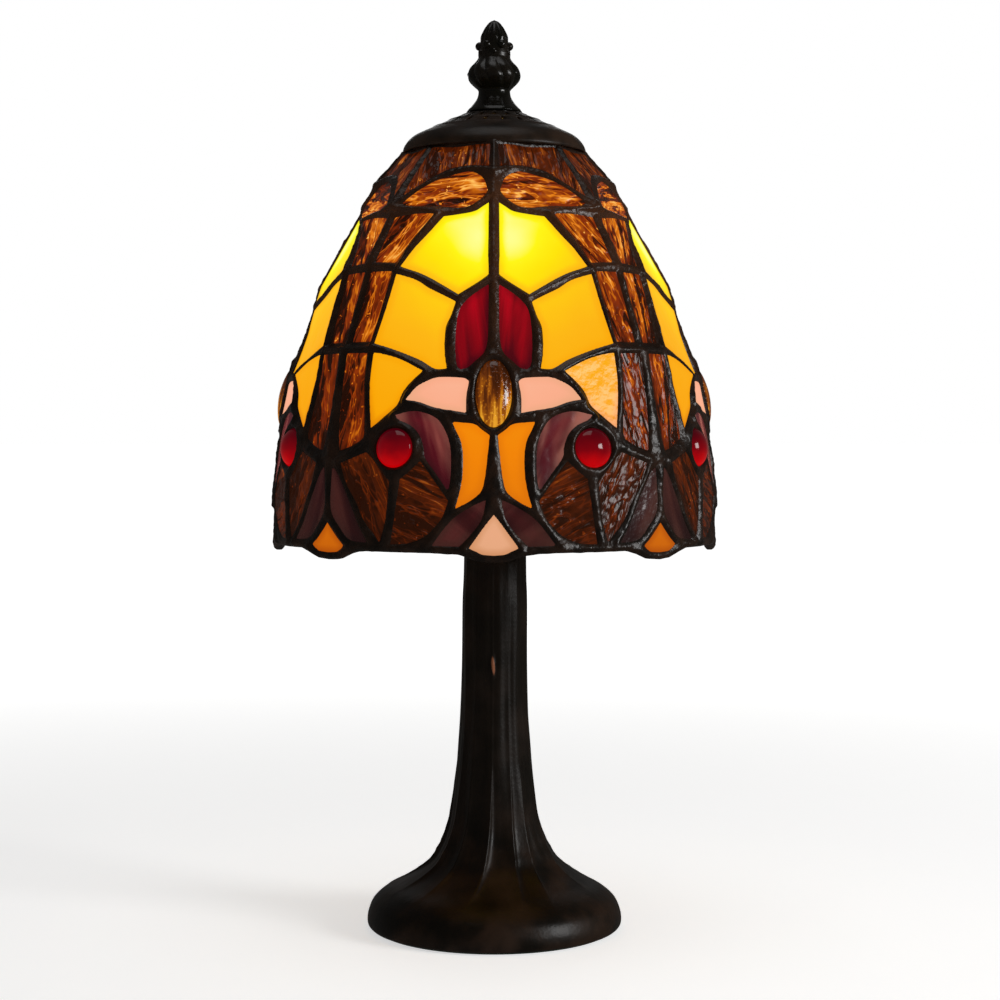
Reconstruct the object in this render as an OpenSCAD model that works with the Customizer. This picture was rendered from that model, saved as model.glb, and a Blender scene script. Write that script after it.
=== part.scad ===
// Stained glass table lamp: flat glass pieces soldered into a bell shade, on a cast tree-trunk foot.
// Millimetres, +Z up, the front faces -Y. The origin is the middle of the foot's underside.

/* [Shade] */
// Diameter of the shade at its widest
shade_d = 203.2; // [200:0.1:206]
// Thickness of the flat glass
glass_t = 2.8; // [2:0.1:3]
// Thickness of the solder lattice between the glass pieces
lattice_t = 4; // [3.2:0.1:4.4]
// Width of each glass edge that the solder hides
tuck = 0.5; // [0.3:0.05:0.6]
// Diameter of the wire soldered along the scalloped rim
rim_wire_d = 1.6; // [1:0.1:1.6]
// Diameter of the round pressed jewels
jewel_d = 18; // [16:0.1:18.5]
// Width of the oval jewels
oval_w = 16; // [14:0.1:16.5]
// Height of the oval jewels
oval_h = 30; // [28:0.1:31]
// Number of vent slots in each ring of the cap
vents = 20; // [12:1:20]

/* [Foot] */
// Diameter of the foot
foot_d = 118.8; // [116:0.1:121]
// Height of the top of the cast trunk
trunk_top = 196; // [194:0.1:196]
// Diameter of the cast iron ballast disc
ballast_d = 90; // [70:0.5:90]
// Outer diameter of the threaded lamp pipe
pipe_d = 9.6; // [9.4:0.1:9.8]

/* [Light] */
// Diameter of the bulb
bulb_d = 48; // [44:0.5:50]
// Distance between the harp's two legs, outside to outside
harp_w = 68; // [64:0.5:69]
// Height of the top of the harp
harp_top = 362; // [361:0.1:362]
// Diameter of the stud's and the finial's 1/4-27 thread
stud_d = 6.2; // [6:0.05:6.3]

/* [Hidden] */
$fn = 64;

// Colours
bronze = [0.1, 0.07, 0.05];
solder = [0.2, 0.16, 0.12];
brass = [0.72, 0.55, 0.25];
steel = [0.6, 0.6, 0.6];
amber = [0.5, 0.22, 0.04];
yellow = [1, 0.75, 0.05];
violet = [0.22, 0.05, 0.1];
ruby = [0.6, 0.02, 0.06];
blush = [0.95, 0.66, 0.55];

// Outer radius of the shade at heights above the table
shade_profile = [
    [170, 101], [192, 101.6], [207, 101.2], [222, 99.2], [239, 97.1], [253, 94], [267, 89],
    [285, 82.7], [304, 75], [322, 64.4], [340, 53], [350, 45], [358, 39.6]
];
shade_top = 356.4;
glass_reach = 9;
motifs = 4;

// Height of the rim's lower edge at angles from the middle of a motif to the seam
rim_line = [[0, 174.6], [3, 175], [6, 176.8], [8.5, 178], [15, 178.5], [34, 178.7], [37, 177.4],
    [41, 174.9], [45, 174.4]];

// Glass outlines between the middle of a motif, 0 degrees, and its seam, 45 degrees.
// Each point is an angle and a height above the table, at the edge of the glass that shows.
top_band = [[2, 354.5], [22, 354.5], [42.2, 354.5], [42.8, 342], [42.8, 330.8], [40, 333.7], [35, 338],
    [30, 341], [25, 343], [18, 344.2], [10, 344.4], [2, 343.6]];
leaf = [[2.5, 332], [5, 338], [10, 341], [15, 341.4], [25, 339.3], [30, 337.3], [35, 334], [38, 331],
    [40.5, 327.4], [35, 326.5], [25, 326.2], [20, 325.6], [15, 325], [10, 325.6], [5, 329]];
yellow_top = [[2, 327], [5, 324.8], [8, 323], [15, 322], [20, 321.3], [25.2, 312.5], [28.2, 307],
    [31, 298.8], [25, 296.5], [20, 293.6], [15, 290], [10.5, 286.5], [5, 291.3], [1.6, 294.5]];
column_top = [[24, 322.4], [28, 315.5], [31, 310], [33.8, 301], [42.7, 301.8], [42.7, 312], [42.5, 321.8],
    [33, 322.8]];
yellow_middle = [[11.2, 283.3], [15, 286], [20, 289.2], [25, 293], [32, 295.8], [33, 281], [34.3, 266],
    [30, 264.2], [25, 261.6], [20, 258.6], [15.5, 255], [12.3, 255], [13.3, 262], [13.6, 272],
    [12.3, 277.5]];
column_middle = [[34.6, 297.2], [35.5, 281], [36.6, 267], [43.3, 267], [43.4, 282], [43.3, 297.5]];
yellow_low = [[18.6, 254], [25, 258.6], [30, 260.9], [34, 262], [34, 252], [33.3, 242], [31.9, 230.5],
    [28, 235.8], [25.2, 240], [24, 244.7], [22.3, 248.5]];
column_low = [[36.2, 261.8], [43.3, 262], [43.3, 245], [42.7, 230], [41.8, 220.8], [38, 222.8],
    [34.6, 225.8], [34.3, 229.5], [35.4, 242], [36.2, 252]];
tulip = [[1.5, 290.7], [5, 287.5], [8, 284], [9.9, 279.8], [10.5, 273], [10.4, 265], [9.7, 256.6],
    [8.6, 254.6], [7, 255.2], [5.2, 257.6], [2.5, 262], [1.6, 270]];
wing = [[6.3, 249.3], [7.5, 250.8], [14, 251.3], [17, 250], [20, 247.2], [22.4, 242.2], [19, 241.2],
    [15, 239], [10, 237.6], [6.8, 236.6], [6.9, 243]];
vase = [[1, 227.3], [3, 229.8], [5, 232], [10.2, 232.8], [9.3, 229.5], [8, 225], [7.4, 219], [7.4, 211],
    [8, 204], [9.2, 196.8], [6, 199.9], [3.1, 204], [2.1, 210], [1.5, 219]];
plum = [[25, 235.7], [20, 237.3], [15, 235], [12.4, 230.5], [10.7, 223.5], [10.3, 215], [10.5, 207],
    [11, 204.6], [14, 211.5], [16.8, 217.8], [17.4, 223], [18.7, 228], [21, 231.5], [24, 233.9]];
amber_inner = [[17.9, 216.6], [20, 213.2], [23, 209], [23.9, 199], [25.3, 182], [21, 182.5], [17, 185.2],
    [14.5, 188.8], [12.3, 193.5], [10.8, 200.2]];
amber_outer = [[32.9, 220.1], [40.4, 215.4], [38.4, 207], [35.4, 199], [33, 191.5], [28.4, 182.8],
    [27, 191], [26.4, 200], [26, 208], [28.6, 212.6], [31, 217.4]];
violet_seam = [[43.6, 214.3], [43.8, 196.8], [40.8, 188.7], [37.3, 183.4], [31.6, 182.2], [34.8, 190],
    [38.1, 200.5], [41.6, 210.5]];
violet_petal = [[1.7, 201], [5.5, 197.7], [9.4, 193.2], [12.2, 187.8], [14.8, 181.6], [8.2, 181.4],
    [5.4, 186.5], [2.8, 193]];
drop_half = [[45, 190], [42, 184.6], [39.3, 180.6], [41.5, 178.2], [45, 177.6]];
tear_half = [[0, 194.4], [1.4, 191.4], [3, 187.6], [5.8, 180.8], [2.6, 178.2], [0, 177.8]];
jewel_at = [25, 222];
oval_at = [0, 244.7];
outlines = [top_band, leaf, yellow_top, column_top, yellow_middle, column_middle, yellow_low, column_low,
    tulip, wing, vase, plum, amber_inner, amber_outer, violet_seam, violet_petal];

foot_r = foot_d / 2;
pipe_r = pipe_d / 2;
stud_r = stud_d / 2;
running = 0.08;
casting_bottom = 1;
felt_t = 1.5;
cover_t = 0.9;
ballast_z = [7.6, 16];
bushing_z = 8.6;
strip_t = 2;
harp_z = trunk_top + 2;
pipe_z = 3.2;
nut_h = [3.4, 3.8];
socket_z = harp_z + strip_t + nut_h[1];
shell_z = [216.5, 250];
switch_z = 222;
terminal_z = 216;
screw_z = 231;
bulb_z = 235;
stem_h = 26;
thread_pitch = 25.4 / 27;
cap_top = 374.4;
cap_t = 1.2;
washer_t = 0.7;
finial_z = cap_top + washer_t;
finial_turns = 8;
rim_gap = 0.35;
jewel_gap = 0.05;

// Plane geometry

function unit(v) = v / norm(v);
function total(v, i = 0) = i == len(v) ? 0 : v[i] + total(v, i + 1);
function mean(points) = [for (k = [0:len(points[0]) - 1]) total([for (p = points) p[k]]) / len(points)];
function reversed(v) = [for (i = [len(v) - 1:-1:0]) v[i]];

// An outline that is its own mirror image, from the half of it whose two ends are on the mirror
function whole(half, about) =
    concat(half, [for (i = [len(half) - 2:-1:1]) [2 * about - half[i][0], half[i][1]]]);

// 1 for an outline that runs anticlockwise, -1 for one that runs clockwise
function winding(points) = let (n = len(points))
    sign(total([for (i = [0:n - 1]) cross(points[i], points[(i + 1) % n])]));

// The outline moved outwards by d all round
function grown(points, d) = let (n = len(points), s = winding(points)) [
    for (i = [0:n - 1])
        let (before = unit(points[i] - points[(i + n - 1) % n]),
            after = unit(points[(i + 1) % n] - points[i]),
            n0 = s * [before[1], -before[0]],
            n1 = s * [after[1], -after[0]])
        points[i] + d * (n0 + n1) / max(0.5, 1 + n0 * n1)
];

// A path moved sideways by d, to its right for a positive d
function beside(path, d) = [
    for (i = [0:len(path) - 1])
        let (along = unit(path[min(i + 1, len(path) - 1)] - path[max(i - 1, 0)]))
        path[i] + d * [along[1], -along[0]]
];

// A wall of thickness t on the left of a path
module wall_section(path, t) polygon(concat(path, reversed(beside(path, -t))));

module hexagon(across_flats, height) cylinder(d = across_flats / cos(30), h = height, $fn = 6);

module tube(r_out, r_in, z0, z1)
    translate([0, 0, z0]) difference() {
        cylinder(r = r_out, h = z1 - z0);
        translate([0, 0, -1]) cylinder(r = r_in, h = z1 - z0 + 2);
    }

// The shade's surface and the plane of each glass piece

function shade_r(z) = lookup(z, shade_profile) * shade_d / 203.2;
function glass_r(z) = shade_r(z) - lattice_t / 2;
function lean(z) = atan((glass_r(z - 4) - glass_r(z + 4)) / 8);
function across(a) = [cos(a), sin(a), 0];
function upward(a, b) = [-sin(a) * sin(b), cos(a) * sin(b), cos(b)];
function outward(a, b) = [sin(a) * cos(b), -cos(a) * cos(b), sin(b)];
function spot(p) = [glass_r(p[1]) * sin(p[0]), -glass_r(p[1]) * cos(p[0]), p[1]];

// An outline of angles and heights, laid flat in the plane that touches the shade at its middle
function flat(outline) = let (c = mean(outline), a = c[0], b = lean(c[1]), o = spot(c))
    [for (p = outline) [(spot(p) - o) * across(a), (spot(p) - o) * upward(a, b)]];
function depth(outline) = let (c = mean(outline), a = c[0], b = lean(c[1]), o = spot(c))
    total([for (p = outline) (spot(p) - o) * outward(a, b)]) / len(outline);

// Stands its children's XY plane on the shade at angle a and height z, moved outwards by d
module at_shade(p, d = 0) {
    a = p[0];
    b = lean(p[1]);
    x = across(a);
    y = upward(a, b);
    n = outward(a, b);
    o = spot(p) + d * n;
    multmatrix([
        [x[0], y[0], n[0], o[0]],
        [x[1], y[1], n[1], o[1]],
        [x[2], y[2], n[2], o[2]],
        [0, 0, 0, 1]
    ]) children();
}

// A flat piece of thickness t in an outline's own plane, grown by d
module plate(outline, t, d)
    at_shade(mean(outline), depth(outline))
        translate([0, 0, -t / 2]) linear_extrude(t) polygon(grown(flat(outline), d));

module every_motif() for (i = [0:motifs - 1]) rotate(i * 360 / motifs) children();
module every_half() every_motif() for (m = [0, 1]) mirror([m, 0, 0]) children();

module panes(outline, colour) color(colour, 0.8) every_half() plate(outline, glass_t, tuck);
module middle_panes(half, about, colour)
    color(colour, 0.8) every_motif() plate(whole(half, about), glass_t, tuck);

// Solder and wire

module every_window() {
    every_half() {
        for (outline = outlines) plate(outline, 2 * glass_reach, tuck);
        at_shade(jewel_at) cylinder(d = jewel_d + 2 * jewel_gap, h = 2 * glass_reach, center = true);
    }
    every_motif() {
        plate(whole(drop_half, 45), 2 * glass_reach, tuck);
        plate(whole(tear_half, 0), 2 * glass_reach, tuck);
        at_shade(oval_at) linear_extrude(2 * glass_reach, center = true) polygon(oval_outline());
    }
}

// Cuts the shade's lower edge to the scallops, leaving room for the rim wire
module scallop_cutters()
    every_half() for (ends = [[-1, 23], [22, 46]])
        plate(concat(
            [for (a = [ends[0]:1:ends[1]]) [a, lookup(a, rim_line) + rim_wire_d + rim_gap]],
            [[ends[1], 160], [ends[0], 160]]), 2 * glass_reach, 0.001);

module solder_lattice() color(solder) difference() {
    rotate_extrude() wall_section(
        concat([for (p = shade_profile) if (p[0] < shade_top) [shade_r(p[0]), p[0]]],
            [[shade_r(shade_top), shade_top]]), lattice_t);
    every_window();
    scallop_cutters();
}

module rim_wire() color(solder) {
    step = 3;
    sides = 6;
    r = rim_wire_d / 2;
    centres = [
        for (a = [0:step:360 - step])
            let (from_axis = abs((a + 45) % 90 - 45), z = lookup(from_axis, rim_line) + r)
            [a, glass_r(z), z]
    ];
    n = len(centres);
    polyhedron(
        points = [
            for (c = centres, s = [0:sides - 1])
                let (t = (s + 0.5) * 360 / sides, across_r = c[1] + r * cos(t))
                [across_r * sin(c[0]), -across_r * cos(c[0]), c[2] + r * sin(t) * 0.98]
        ],
        faces = [
            for (i = [0:n - 1], s = [0:sides - 1])
                let (j = (i + 1) % n, t = (s + 1) % sides)
                [i * sides + s, i * sides + t, j * sides + t, j * sides + s]
        ]);
}

// Jewels

function oval_outline() = [for (t = [0:10:350]) [oval_w / 2 * cos(t), oval_h / 2 * sin(t)]];

// The cap of a ball, its flat back on the glass's inner face
module round_jewel() {
    rise = 6;
    ball_r = (pow(jewel_d / 2, 2) + rise * rise) / (2 * rise);
    intersection() {
        translate([0, 0, rise - ball_r]) sphere(ball_r);
        cylinder(d = jewel_d, h = rise + 1);
    }
    translate([0, 0, -glass_t / 2]) cylinder(d = jewel_d, h = glass_t / 2);
}

// A spindle standing up the shade, cut off behind the glass
module oval_jewel() {
    flatten = 2;
    intersection() {
        translate([0, 0, -flatten]) rotate([-90, 0, 0])
            rotate_extrude() polygon([
                for (t = [-90:10:90])
                    [(oval_w / 2 + 0.2) * max(0, cos(t)), oval_h / 2 * sin(t)]
            ]);
        translate([0, 0, -glass_t / 2]) linear_extrude(oval_w) polygon(oval_outline());
    }
}

module jewel_round() color(ruby, 0.8) every_half() at_shade(jewel_at) round_jewel();
module jewel_oval() color(amber, 0.8) every_motif() at_shade(oval_at) oval_jewel();

// Glass

module glass_top_band() panes(top_band, amber);
module glass_leaf() panes(leaf, amber);
module glass_yellow_top() panes(yellow_top, yellow);
module glass_yellow_middle() panes(yellow_middle, yellow);
module glass_yellow_low() panes(yellow_low, yellow);
module glass_column_top() panes(column_top, amber);
module glass_column_middle() panes(column_middle, amber);
module glass_column_low() panes(column_low, amber);
module glass_tulip() panes(tulip, ruby);
module glass_wing() panes(wing, blush);
module glass_vase() panes(vase, "orange");
module glass_plum() panes(plum, violet);
module glass_amber_inner() panes(amber_inner, amber);
module glass_amber_outer() panes(amber_outer, amber);
module glass_violet_seam() panes(violet_seam, violet);
module glass_violet_petal() panes(violet_petal, violet);
module glass_drop() middle_panes(drop_half, 45, "orange");
module glass_tear() middle_panes(tear_half, 0, blush);

// Cap and finial

module crown_ring() color(brass) tube(39.4, 36.6, shade_top, shade_top + 2);

module vent_cap() color(bronze) {
    slot = [1.8, 4.6, 12];
    inner_ring_r = 18;
    ring_step = 6.4;
    cap_path = [[41.6, shade_top], [41.8, 357.6], [40.7, 360.3], [37.6, 363.5], [32.7, 366],
        [27.7, 368.2], [22.6, 370.5], [17, 373], [12, cap_top], [stud_r + 0.4, cap_top]];
    difference() {
        rotate_extrude() wall_section(cap_path, cap_t);
        for (i = [0:vents - 1], ring = [0, 1])
            rotate((i + ring / 2) * 360 / vents)
                translate([inner_ring_r + ring * ring_step, 0, cap_top - 4])
                    cube([slot[1], slot[0], slot[2]], center = true);
    }
}

module swivel_stud() color(brass) {
    head_z = harp_top - strip_t - 0.2;
    difference() {
        union() {
            translate([0, 0, head_z - 2]) cylinder(r = 6, h = 2);
            translate([0, 0, head_z - 1]) cylinder(r = stud_r, h = 24.5);
            translate([0, 0, harp_top + 0.2]) cylinder(r = 6.5, h = 9.8);
            translate([0, 0, harp_top + 9]) cylinder(r = 10, h = cap_top - cap_t - harp_top - 9);
        }
        translate([0, 0, head_z - 3]) cylinder(r = 1.2, h = 6);
    }
}

module finial_washer() color(brass) tube(9.5, stud_r + 0.3, cap_top, finial_z);

module finial_insert() color(brass)
    tube(5, stud_r + running, finial_z, finial_z + finial_turns * thread_pitch + 0.6);

module finial() color(bronze) {
    // Radius and height of the turned outline, from the foot flange to the tip
    outline = [[12.4, finial_z], [12.3, 376], [11, 377.4], [9.2, 379.7], [7.8, 382], [7.4, 384.3],
        [9, 386.6], [11, 388.9], [12, 391.2], [11.8, 393.5], [10.8, 395.8], [8.8, 398.1], [7.6, 400.5],
        [7.9, 402.8], [8.6, 405.1], [7.4, 407.4], [6, 409.7], [5.3, 412], [3.9, 414.3], [2.3, 416.6],
        [0, 417.5]];
    bore_top = 385;
    difference() {
        rotate_extrude() polygon(concat([[0, finial_z]], outline));
        translate([0, 0, finial_z - 1]) cylinder(r = 5, h = bore_top - finial_z + 1);
    }
}

// Foot

module felt_pad() color("darkgreen") cylinder(r = foot_r - 4.2, h = felt_t);

module base_cover() color(steel) translate([0, 0, felt_t]) cylinder(r = foot_r - 4.1, h = cover_t);

module pipe_nut_bottom() color(steel) translate([0, 0, pipe_z]) difference() {
    hexagon(14, nut_h[0]);
    translate([0, 0, -1]) cylinder(r = pipe_r, h = 6);
}

module lock_washer() color(steel) tube(9, pipe_r + 0.1, pipe_z + nut_h[0], ballast_z[0]);

module ballast_weight() color("dimgray") tube(ballast_d / 2, pipe_r + 0.3, ballast_z[0], ballast_z[1]);

module lamp_pipe() color(steel) tube(pipe_r, pipe_r - 1.3, pipe_z, socket_z + 4.2);

module trunk_base() color(bronze) {
    // Radius and height of the casting's outside, from the foot to the neck
    outside = [[foot_r - 0.6, casting_bottom], [foot_r, 3.7], [foot_r - 0.7, 8.3], [foot_r - 3, 13],
        [50.7, 17.6], [41, 22.2], [32.7, 26.8], [27.4, 31.4], [24.7, 36], [22.6, 40.6], [20, 50],
        [18.4, 65], [17, 83], [15.8, 100], [15.3, 120], [15.3, 150], [14.8, 165], [14.6, trunk_top]];
    // The hollow, from the recess for the cover up to the web that the pipe passes through
    cover_z = felt_t + cover_t;
    inside = [[foot_r - 4, casting_bottom - 1], [foot_r - 4, cover_z], [foot_r - 9, cover_z],
        [ballast_d / 2 + 1, ballast_z[1]], [30, ballast_z[1]], [24, 24], [18, 33], [14, 45], [11.5, 65],
        [11, 100], [11, trunk_top - 14], [0, trunk_top - 14]];
    difference() {
        rotate_extrude() polygon(concat([[0, casting_bottom]], outside, [[0, trunk_top]]));
        rotate_extrude() polygon(concat([[0, casting_bottom - 1]], inside));
        translate([0, 0, trunk_top - 20]) cylinder(r = pipe_r + 0.2, h = 30);
        translate([0, 0, bushing_z]) rotate([-90, 0, 0]) cylinder(r = 4.2, h = foot_r + 10);
    }
}

module cord_bushing() color("black") difference() {
    translate([0, 0, bushing_z]) rotate([-90, 0, 0]) union() {
        translate([0, 0, foot_r - 10]) cylinder(r = 4.2, h = 11);
        translate([0, 0, foot_r + 0.2]) cylinder(r = 5.6, h = 1.6);
    }
    translate([0, 0, bushing_z]) rotate([-90, 0, 0]) cylinder(r = 2.6, h = foot_r + 20);
}

module neck_ring() color(bronze) rotate_extrude() polygon([
    [pipe_r + 0.2, trunk_top], [14, trunk_top], [15, trunk_top + 0.7], [14, trunk_top + 1.5],
    [10, harp_z], [pipe_r + 0.2, harp_z]
]);

// Harp, its closed loop standing in the XZ plane

// A rectangle of width w between two heights, with corners of radius r
module rounded(w, z0, z1, r) {
    translate([-w / 2, z0 + r]) square([w, z1 - z0 - 2 * r]);
    translate([r - w / 2, z0]) square([w - 2 * r, z1 - z0]);
    for (x = [r - w / 2, w / 2 - r], z = [z0 + r, z1 - r]) translate([x, z]) circle(r);
}

module harp() color(brass) {
    strip_w = 12;
    bend_r = 12;
    difference() {
        rotate([90, 0, 0]) linear_extrude(strip_w, center = true) difference() {
            rounded(harp_w, harp_z, harp_top, bend_r);
            rounded(harp_w - 2 * strip_t, harp_z + strip_t, harp_top - strip_t, bend_r - strip_t);
        }
        translate([0, 0, harp_z - 1]) cylinder(r = pipe_r + 0.1, h = strip_t + 2);
        translate([0, 0, harp_top - strip_t - 1]) cylinder(r = stud_r + running, h = strip_t + 2);
    }
}

module pipe_nut_top() color(brass) translate([0, 0, harp_z + strip_t]) difference() {
    hexagon(14, nut_h[1]);
    translate([0, 0, -1]) cylinder(r = pipe_r, h = 6);
}

// Socket, on the pipe's upper end

module socket_cap() color(brass) rotate_extrude() polygon([
    [pipe_r, socket_z], [9, socket_z], [14, socket_z + 4.2], [17, shell_z[0] - 3], [17, shell_z[0]],
    [16.2, shell_z[0]], [16.2, shell_z[0] - 2.7], [13.4, socket_z + 5.2], [8.6, socket_z + 1.2],
    [pipe_r, socket_z + 1.2]
]);

module side_hole(r) translate([0, 0, switch_z]) rotate([-90, 0, 0]) cylinder(r = r, h = 30);

module socket_shell() color(brass) difference() {
    tube(17, 16.2, shell_z[0], shell_z[1]);
    side_hole(2.7);
}

module socket_insulator() color("tan") difference() {
    tube(15.9, 15.2, shell_z[0] + 0.5, shell_z[1] - 1);
    side_hole(2.8);
}

module socket_body() color("white") difference() {
    translate([0, 0, screw_z - 20]) cylinder(r = 12.6, h = 20);
    translate([0, 8, 0]) side_hole(2.5);
    for (s = [-1, 1]) translate([s * 9, 0, terminal_z]) rotate([0, s * 90, 0]) cylinder(r = 1.6, h = 8);
}

module screw_shell() color(brass) {
    tube(13.9, 13.4, screw_z + 1, shell_z[1] + 1);
    tube(13.9, 4, screw_z, screw_z + 1);
}

module center_contact() color(brass) translate([0, 0, screw_z]) cylinder(r1 = 3, r2 = 1.6, h = 1.9);

module terminal_screws() color(brass)
    for (s = [-1, 1]) translate([0, 0, terminal_z]) rotate([0, s * 90, 0]) {
        translate([0, 0, 9.2]) cylinder(r = 1.5, h = 3.5);
        translate([0, 0, 12.6]) cylinder(r = 2.8, h = 1.6);
    }

module switch_shaft() color(brass)
    translate([0, 8.2, switch_z]) rotate([-90, 0, 0]) cylinder(r = 2.4, h = 18);

module switch_knob() color("black") translate([0, 18.4, switch_z]) rotate([-90, 0, 0]) difference() {
    union() {
        cylinder(r = 4, h = 3);
        translate([0, 0, 2.5]) cylinder(r = 6.5, h = 11);
    }
    translate([0, 0, -1]) cylinder(r = 2.4, h = 8.8);
    for (i = [0:11]) rotate(i * 30) translate([6.9, 0, 1]) cylinder(r = 0.9, h = 14);
}

// Bulb

module bulb_base() color(steel) {
    tube(13.1, 12.5, bulb_z + 2, bulb_z + 24);
    translate([0, 0, bulb_z]) difference() {
        cylinder(r1 = 6, r2 = 13.1, h = 2);
        translate([0, 0, -1]) cylinder(r = 4, h = 4);
    }
}

module bulb_contact() color(solder) translate([0, 0, bulb_z - 2.1]) union() {
    cylinder(r = 2.6, h = 1.2);
    translate([0, 0, 1.1]) cylinder(r = 3.9, h = 3.4);
}

module bulb_glass() color("ivory", 0.8) {
    // Radius and height of the bulb's outside, from its neck in the base to its crown
    bulb_path = [[12.2, bulb_z + 5], [12.2, 262], [14, 270], [18.6, 281], [22.4, 291], [23.8, 297],
        [bulb_d / 2, 302], [23, 310.5], [20, 317], [15.5, 322], [9, 325.2], [0, 326.2]];
    rotate_extrude() intersection() {
        wall_section(bulb_path, 1);
        square([bulb_d, harp_top]);
    }
}

module bulb_stem() color("ivory") translate([0, 0, bulb_z + 9]) union() {
    cylinder(r = 4, h = stem_h);
    cylinder(r = 9, h = 2);
}

module filament() color(steel) {
    post_z = bulb_z + 9 + stem_h;
    for (s = [-1, 1]) translate([s * 2, 0, post_z + 0.2]) rotate([0, s * 12, 0]) cylinder(r = 0.5, h = 30);
    translate([-8.6, 0, post_z + 29]) rotate([0, 90, 0]) cylinder(r = 0.9, h = 17.2);
}

felt_pad();
base_cover();
pipe_nut_bottom();
lock_washer();
ballast_weight();
trunk_base();
lamp_pipe();
cord_bushing();
neck_ring();
harp();
pipe_nut_top();
socket_cap();
socket_shell();
socket_insulator();
socket_body();
screw_shell();
center_contact();
terminal_screws();
switch_shaft();
switch_knob();
bulb_base();
bulb_contact();
bulb_glass();
bulb_stem();
filament();
swivel_stud();
crown_ring();
vent_cap();
solder_lattice();
rim_wire();
glass_top_band();
glass_leaf();
glass_yellow_top();
glass_yellow_middle();
glass_yellow_low();
glass_column_top();
glass_column_middle();
glass_column_low();
glass_tulip();
glass_wing();
glass_vase();
glass_plum();
glass_amber_inner();
glass_amber_outer();
glass_violet_seam();
glass_violet_petal();
glass_drop();
glass_tear();
jewel_oval();
jewel_round();
finial_washer();
finial_insert();
finial();
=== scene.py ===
import math

import bmesh
import bpy
import numpy as np
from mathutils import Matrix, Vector
from mathutils.geometry import delaunay_2d_cdt


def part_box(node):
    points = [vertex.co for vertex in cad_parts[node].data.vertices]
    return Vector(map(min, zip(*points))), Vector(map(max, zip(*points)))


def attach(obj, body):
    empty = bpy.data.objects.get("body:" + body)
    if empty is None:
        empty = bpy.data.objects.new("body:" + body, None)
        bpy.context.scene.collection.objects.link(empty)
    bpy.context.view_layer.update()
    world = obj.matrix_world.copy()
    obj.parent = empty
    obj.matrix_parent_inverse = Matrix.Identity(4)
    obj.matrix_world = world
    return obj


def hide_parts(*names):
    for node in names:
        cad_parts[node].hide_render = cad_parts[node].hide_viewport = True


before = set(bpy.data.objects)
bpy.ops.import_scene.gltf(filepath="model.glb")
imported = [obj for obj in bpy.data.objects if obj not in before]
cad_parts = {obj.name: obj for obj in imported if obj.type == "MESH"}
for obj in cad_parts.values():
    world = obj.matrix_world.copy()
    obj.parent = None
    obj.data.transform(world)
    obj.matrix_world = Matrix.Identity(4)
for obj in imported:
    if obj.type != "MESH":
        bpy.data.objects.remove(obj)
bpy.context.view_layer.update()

scene = bpy.context.scene

# ---------------------------------------------------------------- the foot's casting
# One hollow casting, a tree trunk whose roots run out over a round foot, painted a
# bronze so dark that it is nearly black. The lamp pipe clamps it to the ballast.


class Value:
    """A shader socket. Arithmetic on it adds Math nodes to its material."""

    def __init__(self, finish, socket):
        self.finish, self.socket = finish, socket

    def math(self, operation, *values):
        return self.finish.node("ShaderNodeMath", {"operation": operation}, dict(enumerate(values)))

    def __add__(self, other):
        return self.math("ADD", self, other)

    def __mul__(self, other):
        return self.math("MULTIPLY", self, other)

    def __sub__(self, other):
        return self.math("SUBTRACT", self, other)

    def __rsub__(self, other):
        return self.math("SUBTRACT", other, self)

    def __truediv__(self, other):
        return self.math("DIVIDE", self, other)

    def __pow__(self, other):
        return self.math("POWER", self, other)

    def __abs__(self):
        return self.math("ABSOLUTE", self)

    __radd__, __rmul__ = __add__, __mul__

    def between(self, low, high):
        """0 below low, 1 above high, and a smooth step between them."""
        sockets = {"Value": self, "From Min": low, "From Max": high}
        return self.finish.node("ShaderNodeMapRange", {"interpolation_type": "SMOOTHSTEP"}, sockets)


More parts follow.
